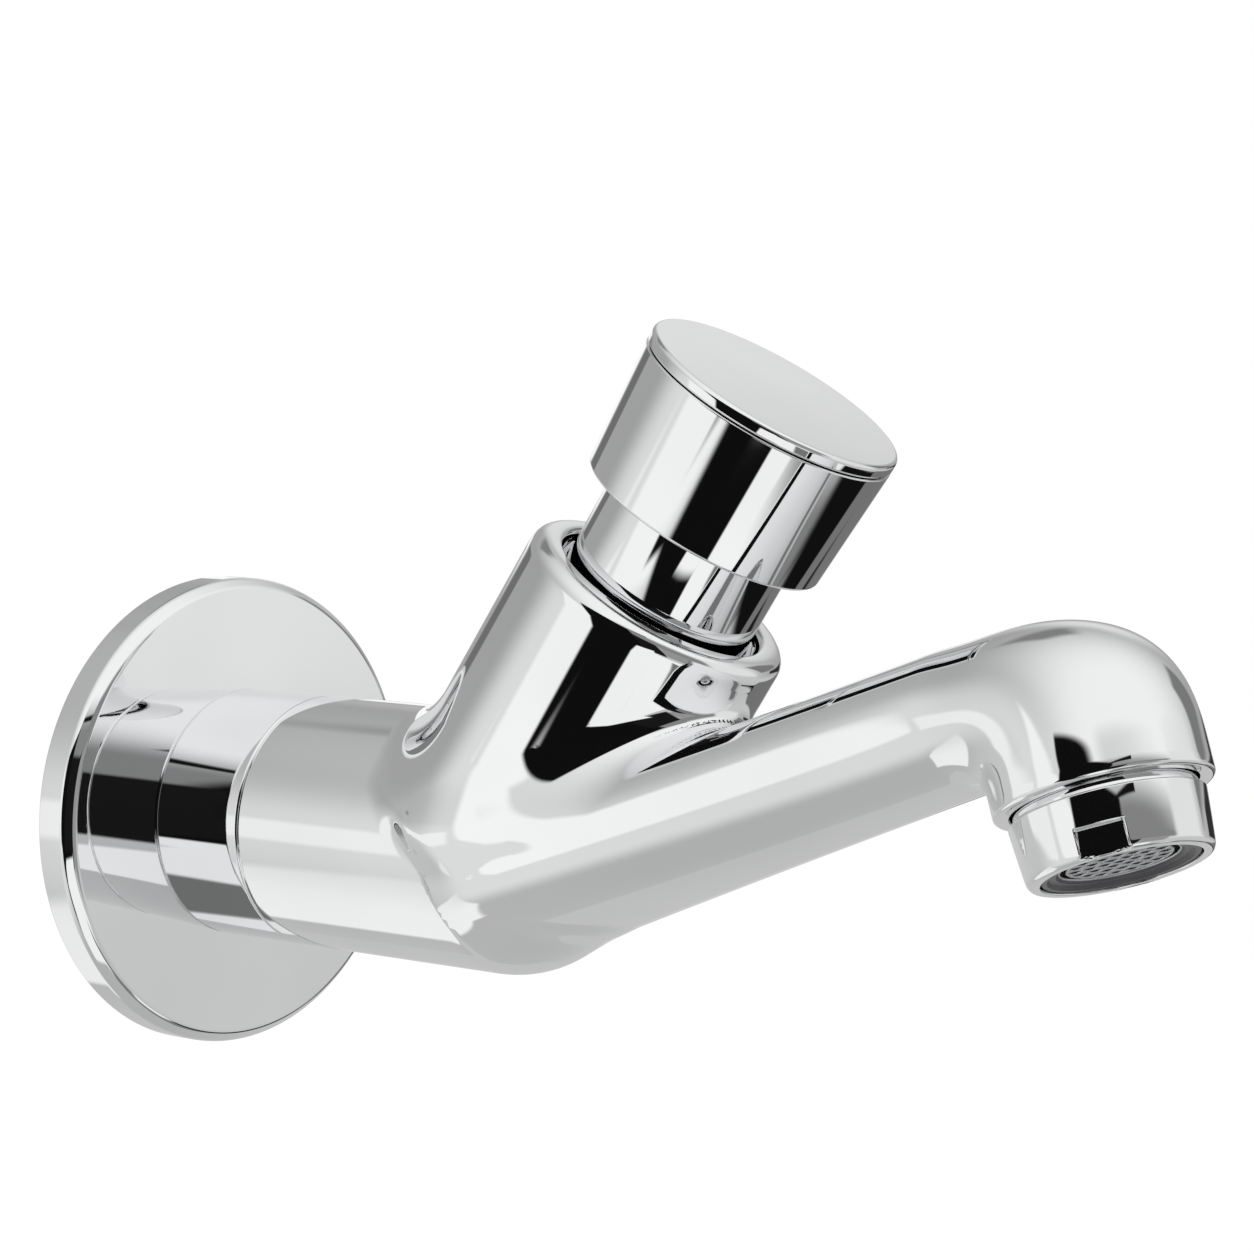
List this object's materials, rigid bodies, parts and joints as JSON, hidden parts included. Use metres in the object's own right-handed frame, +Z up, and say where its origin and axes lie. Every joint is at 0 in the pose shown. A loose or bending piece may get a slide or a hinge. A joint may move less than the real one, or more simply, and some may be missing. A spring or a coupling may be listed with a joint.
{
  "type": "push timed tap",
  "caption": "Wall-mounted push timed tap in polished chrome: leaning tower with a push cap, tapered spout, aerator and round wall flange.",
  "frame": {"origin": "centre of the wall flange's back face, on the inlet axis", "axes": "+Y into the wall along the inlet axis, so the spout stands out towards -Y; +Z up; X across, the mirror plane is X = 0"},
  "size_m": [0.07, 0.1895, 0.1099],
  "materials": {
    "chrome": "polished chrome plate on brass",
    "brass": "turned brass, bare",
    "steel": "stainless steel",
    "nitrile": "black nitrile rubber",
    "foam": "closed-cell foam rubber",
    "fibre": "pressed red fibre",
    "acetal": "white acetal resin",
    "dark_plastic": "dark grey acetal resin"
  },
  "bodies": {
    "tap": {"tap_body": "chrome", "wall_flange": "chrome", "flange_gasket": "foam", "inlet_collar": "chrome", "collar_oring": "nitrile", "inlet_nipple": "brass", "inlet_washer": "fibre", "inlet_strainer": "steel", "cartridge_housing": "acetal", "cartridge_filter": "steel", "seat_oring": "nitrile", "valve_seat": "steel", "chamber_cover": "brass", "cover_oring": "nitrile", "spindle_oring": "nitrile", "neck_sleeve": "chrome", "guide_ring": "acetal", "spindle_bush": "acetal", "spring_seat": "steel", "return_spring": "steel", "aerator_housing": "chrome", "aerator_washer": "nitrile", "aerator_insert": "dark_plastic", "aerator_mesh": "steel", "jet_disc": "acetal", "flow_ring": "nitrile"},
    "plunger": {"spindle": "brass", "piston": "acetal", "piston_cup": "nitrile", "timing_jet": "brass", "valve_disc": "nitrile", "valve_nut": "brass", "spring_retainer": "steel", "spring_circlip": "steel", "cap_washer": "steel", "cap_screw": "steel"},
    "button": {"push_cap": "chrome", "button_plate": "chrome"}
  },
  "joints": [
    {"name": "button_press", "type": "slide", "parent": "tap", "child": "plunger", "axis": [0, 0.5105, -0.8599], "range_m": [0, 0.006], "stiffness_N_per_m": 900, "springref_m": -0.01, "deforming": ["return_spring"]},
    {"name": "button_turn", "type": "hinge", "parent": "plunger", "child": "button", "pos_m": [0, -0.09702, 0.0583], "axis": [0, -0.5105, 0.8599], "continuous": true}
  ]
}
